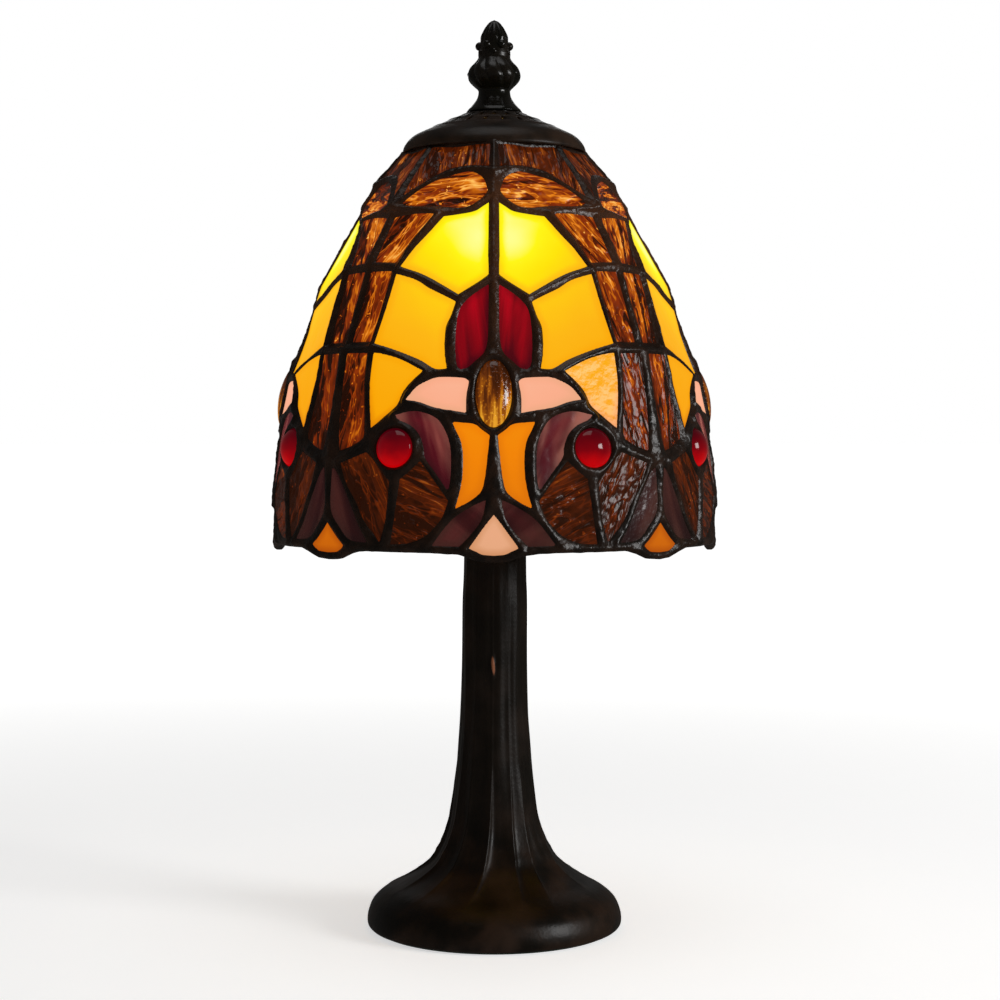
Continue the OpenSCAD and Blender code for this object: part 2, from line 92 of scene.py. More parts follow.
class Finish:
    """A material with one Principled surface. Its fixed values are set on the shader's own sockets."""

    def __init__(self, name, **fixed):
        self.material = bpy.data.materials.new(name)
        self.material.use_nodes = True
        self.tree = self.material.node_tree
        self.surface = self.tree.nodes["Principled BSDF"]
        for socket, value in fixed.items():
            self.surface.inputs[socket.replace("_", " ")].default_value = value

    def node(self, kind, settings=None, sockets=None, output=0):
        """Adds a node. A ramp's stops are pairs of a place and a colour."""
        made = self.tree.nodes.new(kind)
        for key, value in (settings or {}).items():
            if key == "stops":
                stops = made.color_ramp.elements
                for place, _ in value[2:]:
                    stops.new(place)
                for stop, (place, tint) in zip(stops, value):
                    stop.position = place
                    stop.color = (*tint, 1)
            else:
                setattr(made, key, value)
        for key, value in (sockets or {}).items():
            if isinstance(value, Value):
                self.tree.links.new(value.socket, made.inputs[key])
            else:
                made.inputs[key].default_value = value
        return Value(self, made.outputs[output])

    def place(self):
        return self.node("ShaderNodeTexCoord", output="Object")

    def uv(self, name):
        return self.node("ShaderNodeUVMap", {"uv_map": name})

    def attribute(self, name):
        return self.node("ShaderNodeAttribute", {"attribute_name": name}, output="Fac")

    def axis(self, vector, name):
        """One coordinate of a vector."""
        return self.node("ShaderNodeSeparateXYZ", {}, {0: vector}, name)

    def noise(self, vector, scale, detail=2, distortion=0.0, stretch=(1, 1, 1)):
        """Noise from 0 to 1, about 0.5, on a vector scaled by stretch."""
        vector = self.node("ShaderNodeVectorMath", {"operation": "MULTIPLY"}, {0: vector, 1: stretch})
        sockets = {"Vector": vector, "Scale": scale, "Detail": detail, "Distortion": distortion}
        return self.node("ShaderNodeTexNoise", {}, sockets, "Fac")

    def mix(self, share, first, second):
        """The first colour where share is 0 and the second where it is 1."""
        first, second = ((*c, 1) if isinstance(c, tuple) and len(c) == 3 else c for c in (first, second))
        return self.node("ShaderNodeMix", {"data_type": "RGBA"}, {0: share, 6: first, 7: second}, 2)

    def ramp(self, share, *stops):
        """A colour that runs through the stops as share grows."""
        return self.node("ShaderNodeValToRGB", {"stops": stops}, {0: share})

    def scaled(self, tint, by):
        """A colour times a number, through Vector Math so that it stays a colour."""
        return self.node("ShaderNodeVectorMath", {"operation": "SCALE"}, {0: tint, "Scale": by})

    def bump(self, height, depth):
        """Relief of the given depth in metres."""
        return self.node("ShaderNodeBump", {}, {"Height": height, "Distance": depth})

    def feed(self, **sockets):
        """Links values to the surface's sockets."""
        for socket, value in sockets.items():
            self.tree.links.new(value.socket, self.surface.inputs[socket.replace("_", " ")])
        return self


def colour(red, green, blue):
    """A screen colour, 0 to 255 a channel, as linear light."""
    return tuple(((c / 255 + 0.055) / 1.055) ** 2.4 if c > 10 else c / 255 / 12.92
                 for c in (red, green, blue))


def waves(points, length, seed, count=16):
    """Smooth noise of about unit size: a sum of sine waves near one length, in directions drawn at
    random."""
    draw = np.random.default_rng(seed)
    ways = draw.normal(size=(count, 3))
    ways *= (2 * np.pi / length * draw.uniform(0.7, 1.4, count) / np.linalg.norm(ways, axis=1))[:, None]
    phases = draw.uniform(0, 2 * np.pi, count)
    return np.sin(points @ ways.T + phases).sum(-1) * math.sqrt(2 / count)


def spline(path, spacing):
    """A smooth line through the points of a path, sampled evenly: each span is a Catmull-Rom cubic."""
    path = np.array(path, float)
    ends = 2 * path[[0, -1]] - path[[1, -2]]
    p = np.concatenate([ends[:1], path, ends[1:]])
    lengths = np.linalg.norm(np.diff(path, axis=0), axis=1)
    spans = []
    for i, length in enumerate(lengths):
        t = np.arange(0, 1, 1 / max(2, round(length / spacing)))[:, None]
        a, b, c, d = p[i : i + 4]
        spans.append(b + t / 2 * (c - a + t * (2 * a - 5 * b + 4 * c - d + t * (3 * (b - c) + d - a))))
    return np.concatenate([*spans, path[-1:]])


def around(radius, angle, height):
    """Points at an angle from the front, in degrees towards +X, at a radius and a height."""
    angle = np.radians(angle)
    return np.stack(np.broadcast_arrays(radius * np.sin(angle), -radius * np.cos(angle), height), -1)


def quads(rows, columns, join_rows=False, join_columns=False):
    """The faces of a grid of points. They point outwards when rows go up and columns go round towards +X."""
    r = np.arange(rows if join_rows else rows - 1)[:, None]
    c = np.arange(columns if join_columns else columns - 1)[None, :]
    r1, c1 = (r + 1) % rows, (c + 1) % columns
    r, r1 = r * columns, r1 * columns
    return np.stack([r + c, r + c1, r1 + c1, r1 + c], -1).reshape(-1, 4)


def place_object(name, data):
    """Puts a mesh, light or camera into the scene."""
    made = bpy.data.objects.new(name, data)
    scene.collection.objects.link(made)
    return made


def smooth_mesh(name, points, faces, finish):
    """A mesh of points and faces in one finish, without hard edges."""
    mesh = bpy.data.meshes.new(name)
    mesh.from_pydata(np.reshape(points, (-1, 3)).tolist(), [], np.asarray(faces).tolist())
    mesh.shade_smooth()
    mesh.materials.append(finish.material)
    return mesh


def piece(name, points, faces, finish, body, slot, *nodes, merge=True):
    """Makes a mesh of points and faces, joins doubled points, and hands the piece to the frame."""
    mesh = smooth_mesh(name, points, faces, finish)
    if merge:
        work = bmesh.new()
        work.from_mesh(mesh)
        bmesh.ops.remove_doubles(work, verts=work.verts, dist=2e-6)
        work.to_mesh(mesh)
        work.free()
    made = place_object(name, mesh)
    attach(made, body)
    if nodes:
        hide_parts(*nodes)
    return made


def dress(finish, *nodes):
    """Gives CAD nodes a finish in place of their own."""
    for node in nodes:
        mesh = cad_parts[node].data
        mesh.materials.clear()
        mesh.materials.append(finish.material)


# The knot's heart is a painted highlight, a pale sliver at the front: its middle, its size and how far it
# leans
sliver_x, sliver_z = -0.0005, 0.1225
sliver_w, sliver_h = 0.0018, 0.0092
sliver_lean = 0.08
# The painted highlight fades out behind this depth
sliver_back = -0.006

bronze = Finish("dark_bronze_paint", Metallic=0.0, Specular_IOR_Level=0.20)
at = bronze.place()
up = bronze.axis(at, "Z")
worn = bronze.noise(at, 60, 3).between(0.35, 0.75)
# The paint is browner at random, and painted lighter on the foot's flare and on the cap as a painted
# highlight
worn_and_lit = worn * (0.3 + 0.7 * up.between(0.07, 0.02) + 0.7 * up.between(0.30, 0.34))
paint = bronze.mix(worn_and_lit, colour(15, 11, 6), colour(44, 29, 18))
above = up - sliver_z
aside = bronze.axis(at, "X") - sliver_x + sliver_lean * above
off_sliver = (aside / (sliver_w / 2)) ** 2 + (above / (sliver_h / 2)) ** 2
off_sliver = off_sliver + bronze.axis(at, "Y").between(sliver_back, 0.0)
speck = bronze.noise(at, 900, 2)
# The pale sliver on the knot is a painted highlight mixed into the paint's colour
bronze.feed(
    Base_Color=bronze.mix(off_sliver.between(1.1, 0.3), paint, colour(122, 74, 48)),
    Roughness=0.34 + 0.14 * worn,
    Normal=bronze.bump(speck + 2 * bronze.noise(at, 220, 2), 0.00006),
)

foot_low, foot_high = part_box("trunk_base")
foot_r = foot_high.x
trunk_top = foot_high.z
pad_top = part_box("base_cover")[1].z
# Radius and height down the outside, from the neck to the foot's edge
trunk_outside = [
    (0.0146, trunk_top), (0.0148, 0.165), (0.0153, 0.150), (0.0153, 0.120), (0.0158, 0.100), (0.0170, 0.083),
    (0.0184, 0.065), (0.0200, 0.050), (0.0226, 0.0406), (0.0247, 0.036), (0.0274, 0.0314), (0.0327, 0.0268),
    (0.041, 0.0222), (0.0507, 0.0176), (foot_r - 0.003, 0.013), (foot_r - 0.0007, 0.0083), (foot_r, 0.0045),
    (foot_r - 0.0003, 0.0022), (foot_r - 0.0014, foot_low.z),
]
trunk_inside = [
    (foot_r - 0.004, foot_low.z), (foot_r - 0.004, pad_top), (0.047, pad_top), (0.047, 0.016),
    (0.030, 0.016), (0.018, 0.033), (0.0115, 0.065), (0.011, 0.182), (0.005, 0.182), (0.005, trunk_top),
]
# Angle, reach down the flare and height of each root ridge
roots = np.array([
    (-162, 1.0, 1.0), (-128, 0.8, 0.9), (-92, 1.0, 1.1), (-58, 0.9, 0.9), (-34, 1.0, 0.8), (-3, 1.2, 1.3),
    (26, 0.9, 0.8), (44, 1.0, 1.2), (80, 0.8, 0.8), (112, 1.1, 1.1), (146, 0.9, 1.0), (178, 1.0, 0.8),
])
# The knot and the dent beside it: angle, height, half width, half height, and how far it stands out
knot = (-2.0, 0.122, 0.0009, 0.0050, 0.0011)
dent = (-14.0, 0.114, 0.0036, 0.011, -0.0007)
ridge_h = 0.0027
steep, gentle = 2.6, 12


def turned_by(angle, other):
    """The turn from one angle to another, in degrees from -180 to 180."""
    return (angle - other + 180) % 360 - 180


def bark(radius, angle, height):
    """How far the bark stands proud. Each root is a ridge with one steep side and one gentle side, which
    swirls as it comes down, is highest on the flare and fades into a long groove above. A small knot
    and the dent beside it are Gaussian bumps, and fine upright grain is a sum of sines."""
    sway = angle + 16 * np.exp(-np.clip(height - 0.012, 0, 1) / 0.020)
    ridges = 0
    for place, reach, tall in roots:
        off = turned_by(sway, place)
        ridge = np.where(off < 0, np.exp(off / gentle), np.exp(-off / steep))
        low = 0.0125 + 0.004 / reach
        fade = np.clip((height - low) / 0.010, 0, 1) * np.clip((0.085 - height) / 0.050, 0.16, 1)
        ridges = ridges + ridge_h * tall * fade * ridge
    sides = np.radians(angle)
    along = np.stack(np.broadcast_arrays(np.sin(sides) * 0.016, np.cos(sides) * 0.016, height * 0.05), -1)
    grain = 0.8 * waves(along, 0.0080, 5) + 0.3 * waves(along, 0.0034, 6)
    calm = np.clip((height - 0.018) / 0.02, 0, 1) * np.clip((trunk_top - height) / 0.004, 0, 1)
    proud = ridges - 0.0006 + 0.00026 * calm * grain
    for place, z, wide, tall, stands in (knot, dent):
        aside = np.radians(turned_by(angle, place)) * radius
        proud = proud + stands * np.exp(-((aside / wide) ** 2 + ((height - z) / tall) ** 2))
    return proud


outside = spline(trunk_outside, 0.00085)[::-1]
inside = np.array(trunk_inside)[::-1]
angles = np.arange(0, 360, 1.0)
trunk_r = outside[:, :1] + bark(outside[:, :1], angles[None, :], outside[:, 1:])
trunk = np.concatenate([
    around(trunk_r, angles[None, :], outside[:, 1:]),
    around(inside[:, :1], angles[None, :], inside[:, 1:]),
])
piece("bark_trunk", trunk, quads(len(trunk), len(angles), join_rows=True, join_columns=True),
      bronze, "base", "bronze_casting", "trunk_base")

# ---------------------------------------------------------------- under the foot
# A felt pad on a zinc-plated cover, over a cast iron ballast disc. The pipe's bottom
# nut and lock washer hold them up into the casting. A rubber bushing lines the cord's way out.


def speckled(name, scale, detail, dark, light, rough, rougher=0.0, depth=0.0, stretch=(1, 1, 1), **fixed):
    """A finish whose colour, roughness and relief all follow one noise."""
    made = Finish(name, Roughness=rough, **fixed)
    grain = made.noise(made.place(), scale, detail, stretch=stretch)
    made.feed(Base_Color=made.mix(grain, colour(*dark), colour(*light)))
    if rougher:
        made.feed(Roughness=rough + rougher * grain)
    if depth:
        made.feed(Normal=made.bump(grain, depth))
    return made


felt = speckled("green_felt", 1400, 3, (10, 26, 18), (34, 60, 44), 0.95, depth=0.0004,
                Specular_IOR_Level=0.1, Sheen_Weight=0.5)
dress(felt, "felt_pad")
zinc = speckled("zinc_plate", 300, 3, (150, 150, 146), (196, 194, 186), 0.25, 0.2, stretch=(1, 1, 8),
                Metallic=1.0)
dress(zinc, "base_cover", "pipe_nut_bottom", "lock_washer", "lamp_pipe")
iron = speckled("cast_iron", 500, 4, (40, 38, 36), (74, 70, 66), 0.6, 0.2, 0.0005,
                Metallic=0.6, Specular_IOR_Level=0.3)
dress(iron, "ballast_weight")
rubber = speckled("black_rubber", 700, 2, (16, 16, 16), (30, 29, 28), 0.6, 0.2, Specular_IOR_Level=0.25)
dress(rubber, "cord_bushing")

# ---------------------------------------------------------------- neck ring
# A turned ring between the trunk and the harp, painted with the casting.

dress(bronze, "neck_ring")

# ---------------------------------------------------------------- harp, socket and switch
# Rolled and drawn brass, slightly brushed and tarnished. The harp's strip stands on the
# pipe under the socket; the socket holds a fibre liner, a porcelain body and a turn knob.

brass = Finish("brushed_brass", Metallic=1.0)
at = brass.place()
brushed = brass.noise(at, 500, 3, stretch=(1, 1, 0.05))
tarnish = brass.noise(at, 70, 3).between(0.4, 0.7)
brass.feed(Base_Color=brass.mix(tarnish, colour(206, 168, 92), colour(150, 112, 58)),
           Roughness=0.2 + 0.15 * brushed + 0.15 * tarnish, Normal=brass.bump(brushed, 0.00005))
dress(brass, "harp", "pipe_nut_top", "socket_cap", "socket_shell", "screw_shell", "center_contact",
      "terminal_screws", "switch_shaft", "swivel_stud", "finial_insert")

dress(speckled("fibre_liner", 800, 3, (120, 98, 66), (168, 144, 104), 0.8), "socket_insulator")
porcelain = speckled("glazed_porcelain", 120, 2, (226, 220, 206), (240, 238, 230), 0.15, Coat_Weight=0.5)
dress(porcelain, "socket_body")
moulding = speckled("black_moulding", 90, 3, (14, 12, 11), (30, 24, 20), 0.2, 0.15, Specular_IOR_Level=0.5)
dress(moulding, "switch_knob")

# ---------------------------------------------------------------- bulb
# A small frosted bulb. Its screw base is rolled from thin metal, the coating inside the
# glass hides the stem and the filament.

bulb_low, bulb_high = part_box("bulb_glass")
bulb_centre = (0.0, 0.0, 0.302)
bulb_wall = 0.001

frosted = Finish("frosted_bulb", Roughness=0.35, Emission_Strength=1.3)
frosted_glow = frosted.noise(frosted.place(), 40, 2)
frosted.feed(Base_Color=frosted.mix(frosted_glow, colour(255, 236, 200), colour(255, 246, 226)),
             Emission_Color=frosted.mix(frosted_glow, colour(255, 206, 130), colour(255, 222, 160)))
# Radius and height from the neck to the tip
bulb_path = [
    (0.0122, bulb_low.z + 0.0004), (0.0122, 0.262), (0.014, 0.270), (0.0186, 0.281), (0.0224, 0.291),
    (0.0238, 0.297), (0.024, 0.302), (0.023, 0.3105), (0.020, 0.317), (0.0155, 0.322), (0.009, 0.3252),
    (0.0, bulb_high.z),
]


def line_normals(path):
    """Unit normals of a line of radii and heights, on its right: the steps along it, turned a quarter."""
    step = np.gradient(path, axis=0)
    return np.stack([step[:, 1], -step[:, 0]], 1) / np.linalg.norm(step, axis=1)[:, None]


outer = spline(bulb_path, 0.0012)
inner = outer - bulb_wall * line_normals(outer)
inner[-1] = (0, bulb_high.z - bulb_wall)
section = np.concatenate([inner[::-1], outer])
section[:, 0] = np.maximum(section[:, 0], 0)
angles = np.arange(0, 360, 5.0)
piece("bulb_envelope", around(section[:, :1], angles[None, :], section[:, 1:]),
      quads(len(section), len(angles), join_columns=True), frosted, "bulb", "frosted_glass", "bulb_glass")

tin = speckled("rolled_metal", 400, 3, (150, 148, 142), (205, 202, 194), 0.3, Metallic=1.0)
dress(tin, "bulb_base", "bulb_contact")
wire = speckled("filament_wire", 900, 1, (90, 88, 86), (130, 128, 124), 0.4, Metallic=1.0)
dress(wire, "filament")
dress(frosted, "bulb_stem")

# ---------------------------------------------------------------- solder lattice
# Every glass piece is wrapped in copper foil. Solder run over the foil, inside and out, joins all into
# one rigid lattice, then blackened. Its beads are round, uneven and peened, and heap up round the jewels.

# Radius and height of the shade's outside
shade_profile = np.array([
    (0.101, 0.170), (0.1016, 0.192), (0.1012, 0.207), (0.0992, 0.222), (0.0971, 0.239), (0.094, 0.253),
    (0.089, 0.267), (0.0827, 0.285), (0.075, 0.304), (0.0644, 0.322), (0.053, 0.340), (0.045, 0.350),
    (0.0396, 0.358),
])
# Angle from the middle of a motif in degrees, and height of the rim's lower edge in millimetres
rim_line = np.array([
    (0, 174.6), (3, 175), (6, 176.8), (8.5, 178), (15, 178.5), (34, 178.7), (37, 177.4), (41, 174.9),
    (45, 174.4),
])
shade_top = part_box("solder_lattice")[1].z
lattice_t = 0.004
glass_t = 0.0028
# How far the foil reaches over the glass's edge, and how far inside that edge the solder's mesh ends
tuck = 0.0005
solder_dip = 0.0009
bead_h = 0.0009
bead_w = 0.0019
bezel_h = 0.0007

profile_line = spline(shade_profile, 0.002)


def shade_r(z):
    """Radius of the middle of the glass at a height."""
    return np.interp(z, profile_line[:, 1], profile_line[:, 0]) - lattice_t / 2


def lean(z):
    """How far the shade's surface leans in from upright, in radians."""
    return np.arctan((shade_r(z - 0.004) - shade_r(z + 0.004)) / 0.008)


def distance(points, outline):
    """Signed distance in a plane from points to a closed outline, negative inside: the nearest of its
    edges, with the sign from how often a ray crosses them."""
    start, end = outline, np.roll(outline, -1, 0)
    edge = end - start
    away = points[:, None] - start[None]
    share = np.clip((away * edge).sum(-1) / (edge**2).sum(-1), 0, 1)
    far = np.linalg.norm(away - share[..., None] * edge, axis=-1).min(1)
    x, y = points[:, None, 0], points[:, None, 1]
    spans = (start[:, 1] > y) != (end[:, 1] > y)
    cut = start[:, 0] + (y - start[:, 1]) * edge[:, 0] / np.where(edge[:, 1] == 0, 1e-12, edge[:, 1])
    inside = (spans & (x < cut)).sum(1) % 2 == 1
    return np.where(inside, -far, far)


def softened(outline, spacing, sharp=36):
    """A closed outline with its gentle corners rounded: a spline through each run between sharp corners."""
    n = len(outline)
    before = outline - np.roll(outline, 1, 0)
    after = np.roll(outline, -1, 0) - outline
    crossed = before[:, 0] * after[:, 1] - before[:, 1] * after[:, 0]
    turn = np.degrees(np.arctan2(crossed, (before * after).sum(1)))
    corners = np.flatnonzero(abs(turn) > sharp)
    if len(corners) < 2:
        run = spline(np.concatenate([outline[-2:], outline, outline[:3]]), spacing)
        half = len(run) // 2
        from_start = np.linalg.norm(run - outline[0], axis=1)
        return run[np.argmin(from_start[:half]) : half + np.argmin(from_start[half:])]
    runs = []
    for a, b in zip(corners, np.roll(corners, -1)):
        count = (b - a) % n or n
        runs.append(spline(outline[(a + np.arange(count + 1)) % n], spacing)[:-1])
    return np.concatenate(runs)


class Pane:
    """One glass piece of the half motif to the right of the front: its plane, its outline laid flat in
    that plane, and the CAD node that it comes from."""

    def __init__(self, node, low, high):
        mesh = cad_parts[node].data
        points = np.array([vertex.co for vertex in mesh.vertices])
        points, merged = np.unique(points.round(6), axis=0, return_inverse=True)
        mesh.calc_loop_triangles()
        triangles = merged.ravel()[np.array([triangle.vertices for triangle in mesh.loop_triangles])]
        angle = np.degrees(np.arctan2(points[:, 0], -points[:, 1]))
        triangles = triangles[((angle[triangles] > low) & (angle[triangles] < high)).all(1)]
        a, b, c = (points[triangles[:, i]] for i in range(3))
        normal = np.cross(b - a, c - a)
        self.node = node
        self.out = normal[np.argmax((normal**2).sum(1) * (((a * (1, 1, 0)) * normal).sum(1) > 0))]
        self.out /= np.linalg.norm(self.out)
        used = np.unique(triangles)
        self.centre = points[used].mean(0)
        self.across = np.cross((0, 0, 1), self.out)
        self.across /= np.linalg.norm(self.across)
        self.up = np.cross(self.out, self.across)
        front = (points - self.centre) @ self.out > 0
        faces = triangles[front[triangles].all(1)]
        edges = {(int(t[i]), int(t[(i + 1) % 3])) for t in faces for i in range(3)}
        follow = {p: q for p, q in edges if (q, p) not in edges}
        loop = [min(follow)]
        while follow[loop[-1]] != loop[0]:
            loop.append(follow[loop[-1]])
        self.outline = self.flat(points[loop])

    def flat(self, points):
        """Places of points in the plane: how far across and how far up they are from its centre."""
        return (points - self.centre) @ np.stack([self.across, self.up], 1)

    def raised(self, flat, height=0.0):
        """Points of the plane back in space, raised by a height."""
        in_plane = self.centre + flat @ np.stack([self.across, self.up])
        return in_plane + np.asarray(height)[..., None] * self.out

    def ray(self, angle, z):
        """How far out from the lamp's axis the plane is, at an angle and a height."""
        a = np.radians(angle)
        across, back, up = self.out
        return ((self.centre @ self.out) - z * up) / (across * np.sin(a) - back * np.cos(a))


# The angles between which a node's pane is looked for: the drop and the tear lie across a motif's edge
single = {"glass_drop": (20, 70), "glass_tear": (-25, 25)}
panes = {node: Pane(node, *single.get(node, (0, 45)))
         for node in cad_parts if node.startswith("glass_")}
for pane in panes.values():
    pane.outline = softened(pane.outline, 0.0012)


class Jewel(Pane):
    """A pressed jewel standing on the shade at an angle and a height, with an oval outline."""

    def __init__(self, node, angle, z, wide, tall):
        a, b = math.radians(angle), float(lean(z))
        self.node = node
        self.out = np.array([math.sin(a) * math.cos(b), -math.cos(a) * math.cos(b), math.sin(b)])
        self.across = np.array([math.cos(a), math.sin(a), 0])
        self.up = np.cross(self.out, self.across)
        self.centre = around(float(shade_r(z)), angle, z)
        t = np.linspace(0, 2 * np.pi, 72, endpoint=False)
        self.outline = np.stack([wide / 2 * np.cos(t), tall / 2 * np.sin(t)], 1)


jewels = {
    "jewel_round": Jewel("jewel_round", 25, 0.222, 0.0174, 0.0174),
    "jewel_oval": Jewel("jewel_oval", 0, 0.2447, 0.0158, 0.0298),
}

# The lattice's fields over half a motif: rows go up from the rim, columns from its middle to its seam
half_columns, rows = 121, 300
fields_angle = np.broadcast_to(np.linspace(0, 45, half_columns), (rows, half_columns))
fields_rim = np.interp(fields_angle, rim_line[:, 0], rim_line[:, 1]) / 1000
fields_z = fields_rim + np.linspace(0, 1, rows)[:, None] * (shade_top - fields_rim)
reach = 0.014
# Distance to the nearest pane, how closely panes crowd a point, and the solder heaped round jewels
near = np.full(fields_z.shape, reach)
crowd = np.zeros(fields_z.shape)
bezel = np.zeros(fields_z.shape)
# The middle of the glass is the mean of the panes' planes, weighted by how near each pane is
weight = np.full(fields_z.shape, 1e-6)
pulled = 1e-6 * shade_r(fields_z)
for pane in [*panes.values(), *jewels.values()]:
    for angle in (fields_angle, -fields_angle, 90 - fields_angle):
        spots = around(shade_r(fields_z), angle, fields_z)
        flat = pane.flat(spots)
        low, high = pane.outline.min(0) - reach, pane.outline.max(0) + reach
        close = ((flat > low) & (flat < high)).all(-1) & (abs((spots - pane.centre) @ pane.out) < 0.02)
        if not close.any():
            continue
        away = distance(flat[close], pane.outline) + tuck
        near[close] = np.minimum(near[close], away)
        crowd[close] += 1 / np.maximum(away, 1e-4) ** 2
        share = 1 / (np.maximum(away, 0) ** 2 + 0.0007**2) ** 2
        weight[close] += share
        pulled[close] += share * pane.ray(angle[close], fields_z[close])
        if isinstance(pane, Jewel):
            bezel[close] = np.maximum(bezel[close], np.exp(-((np.maximum(away, 0) - 0.0012) / 0.0018) ** 2))
glass_mid = pulled / weight
spread = 1 / np.sqrt(np.maximum(crowd, 1e-9))


def whole_shade(half):
    """A field over half a motif, mirrored and repeated round the shade, from the seam left of the front."""
    motif = np.concatenate([half[:, :0:-1], half[:, :-1]], 1)
    return np.tile(motif, (1, 4) + (1,) * (half.ndim - 2))


columns = 8 * (half_columns - 1)
turn = np.broadcast_to(-45 + np.arange(columns) * 360 / columns, (rows, columns))
mid_r, z, near, spread, bezel, rim = (
    whole_shade(f) for f in (glass_mid, fields_z, near, spread, bezel, fields_rim))
middle = around(mid_r, turn, z)
out = around(np.cos(lean(z)), turn, np.sin(lean(z)))
crown = np.sin(np.pi / 2 * np.clip(spread / bead_w, 0, 1)) ** 1.05
run = 1 + 0.16 * waves(middle, 0.013, 21) + 0.07 * waves(middle, 0.006, 22)
bead = (bead_h * run + bezel_h * bezel) * crown
bead += crown * (0.00006 * waves(middle, 0.0028, 23) + 0.00003 * waves(middle, 0.0015, 24))
bead = np.where(near < 0, 1.1 * near, bead)
edge = np.sqrt(1 - (1 - np.clip((z - rim + 0.0002) / 0.0024, 0, 1)) ** 2)
outer = middle + out * ((glass_t / 2 + bead) * edge)[..., None]
inner = middle - out * ((glass_t / 2 + 0.7 * bead) * edge)[..., None]


def grid_normals(points, side):
    """Normals of a grid that goes round: the cross product of its steps along and up."""
    along = np.roll(points, -1, 1) - np.roll(points, 1, 1)
    normal = np.cross(along, np.gradient(points, axis=0)) * side
    return normal / np.linalg.norm(normal, axis=-1, keepdims=True)


def shell(outer, inner, keep, closed=False):
    """Points and faces of two grids back to back, over the cells to keep, with walls at their edges. The
    last column of a closed grid meets its first, with no wall between them."""
    n_rows, n_columns = outer.shape[:2]
    cells = quads(n_rows, n_columns).reshape(n_rows - 1, n_columns - 1, 4)
    back = n_rows * n_columns
    faces = [cells[keep], cells[keep][:, ::-1] + back]
    beside = np.pad(np.pad(keep, ((1, 1), (0, 0))), ((0, 0), (1, 1)), mode="wrap" if closed else "constant")
    for neighbour, a, b in ((beside[:-2, 1:-1], 0, 1), (beside[1:-1, 2:], 1, 2),
                            (beside[2:, 1:-1], 2, 3), (beside[1:-1, :-2], 3, 0)):
        c = cells[keep & ~neighbour]
        faces.append(np.stack([c[:, b], c[:, a], c[:, a] + back, c[:, b] + back], 1))
    faces = np.concatenate(faces)
    used, faces = np.unique(faces, return_inverse=True)
    points = np.concatenate([outer.reshape(-1, 3), inner.reshape(-1, 3)])[used]
    return points, faces.reshape(-1, 4), used


patina = Finish("black_patina_solder", Metallic=0.0, Specular_IOR_Level=0.30)
at = patina.place()
cloud = patina.noise(at, 110, 3)
# The solder is warmed partly by random patina and mostly by painted light where the bulb's glow reaches it
patina_and_painted_glow = 0.25 * cloud.between(0.35, 0.7) + 0.75 * patina.attribute("glow").between(0.3, 1.3)
patina.feed(
    Base_Color=patina.mix(patina_and_painted_glow, colour(18, 11, 6), colour(68, 38, 18)),
    Roughness=0.24 + 0.18 * cloud,
    Normal=patina.bump(patina.noise(at, 520, 2, distortion=0.5), 0.0003),
)


def bulb_glow(points, across_motif):
    """Light painted onto the shade as if from the bulb: it falls with the square of the distance, is
    strongest in the middle of a motif, has a painted hot patch at about the bulb's height, and is dimmed
    just under the cap."""
    near_bulb = (0.072 / np.linalg.norm(points - bulb_centre, axis=-1)) ** 2
    centred = 0.80 + 0.35 * np.exp(-((across_motif / 20) ** 2))
    hot = np.exp(-(((across_motif - 6) / 7) ** 2) - ((points[..., 2] - 0.309) / 0.008) ** 2)
    under_cap = 1 - 0.62 * np.clip((points[..., 2] - 0.325) / 0.022, 0, 1)
    return (near_bulb * centred + 0.22 * hot) * under_cap


solder_glow = bulb_glow(middle, abs((turn + 45) % 90 - 45))
normals_out, normals_in = grid_normals(outer, 1), grid_normals(inner, -1)
solder_near = np.maximum.reduce([near, np.roll(near, -1, 1)])
solder_keep = np.maximum(solder_near[:-1], solder_near[1:]) > -solder_dip
per_motif = columns // 4
for motif in range(4):
    cut = (motif * per_motif + np.arange(per_motif + 1)) % columns
    points, faces, used = shell(outer[:, cut], inner[:, cut], solder_keep[:, cut[:-1]])
    made = piece(f"solder_motif_{motif + 1}", points, faces, patina, "shade", "solder_patina", merge=False)
    normals = np.concatenate([normals_out[:, cut].reshape(-1, 3), normals_in[:, cut].reshape(-1, 3)])[used]
    made.data.normals_split_custom_set_from_vertices(normals.tolist())
    glows = np.tile(solder_glow[:, cut].ravel(), 2)[used]
    made.data.attributes.new("glow", "FLOAT", "POINT").data.foreach_set("value", glows)
    if motif == 0:
        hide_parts("solder_lattice")
dress(patina, "crown_ring")

# ---------------------------------------------------------------- rim wire
# A round wire soldered all along the scalloped rim, tinned and blackened with the lattice.

wire_r = 0.0010
angles = np.arange(0, 360, 0.75)
from_middle = abs((angles + 45) % 90 - 45)
rim_z = np.interp(from_middle, rim_line[:, 0], rim_line[:, 1]) / 1000 + 0.0009
wire_z = sum(share * np.roll(rim_z, by) for share, by in ((1, 2), (2, 1), (3, 0), (2, -1), (1, -2))) / 9
wire_mid = np.interp(angles, turn[0] + 45, np.roll(mid_r[0], -per_motif // 2), period=360)
round_it = np.radians(np.arange(0, 360, 30.0))[:, None]
lumpy = wire_r * (1 + 0.10 * waves(around(wire_mid, angles, wire_z), 0.006, 31))
wire_points = around(wire_mid - lumpy * np.cos(round_it), angles[None], wire_z + lumpy * np.sin(round_it))
piece("rim_bead", wire_points, quads(*wire_points.shape[:2], join_rows=True, join_columns=True)[:, ::-1],
      patina, "shade", "solder_patina", "rim_wire")

# ---------------------------------------------------------------- glass
# Flat pieces cut from sheet. The yellow, orange and pink are opalescent and smooth, the ambers are
# rippled like bark, and the red, plum and violet are streaky. Foil and solder hold each by its edge.


